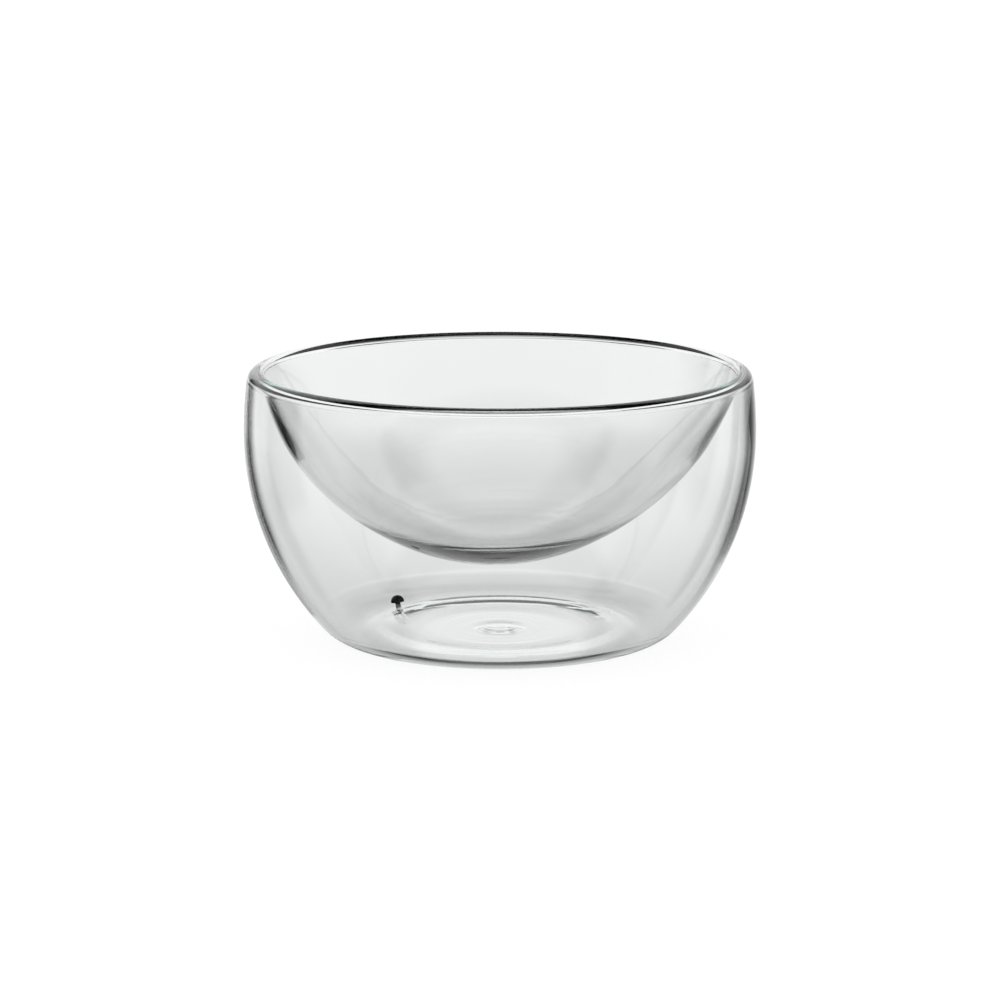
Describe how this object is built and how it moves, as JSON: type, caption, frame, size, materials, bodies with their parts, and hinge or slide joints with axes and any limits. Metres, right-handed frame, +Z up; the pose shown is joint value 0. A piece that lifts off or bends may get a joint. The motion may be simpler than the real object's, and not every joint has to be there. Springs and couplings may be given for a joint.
{
  "type": "dessert dish",
  "caption": "Round double-walled clear glass dessert dish: a deep bowl fused at its rim to an outer shell round an air space, with a vent plug in the base.",
  "frame": {"origin": "centre of the foot ring's contact plane, on the dish's centre line", "axes": "+Z up along the dish's centre line, out of the bowl's mouth; +X to the right and +Y away as seen from the front, with the vent plug left of and behind the centre"},
  "size_m": [0.115, 0.115, 0.0612],
  "materials": {
    "clear_glass": "polished clear borosilicate glass",
    "plug_rubber": "black silicone rubber"
  },
  "bodies": {
    "root": {"glass_body": "clear_glass", "vent_plug": "plug_rubber"}
  },
  "joints": []
}
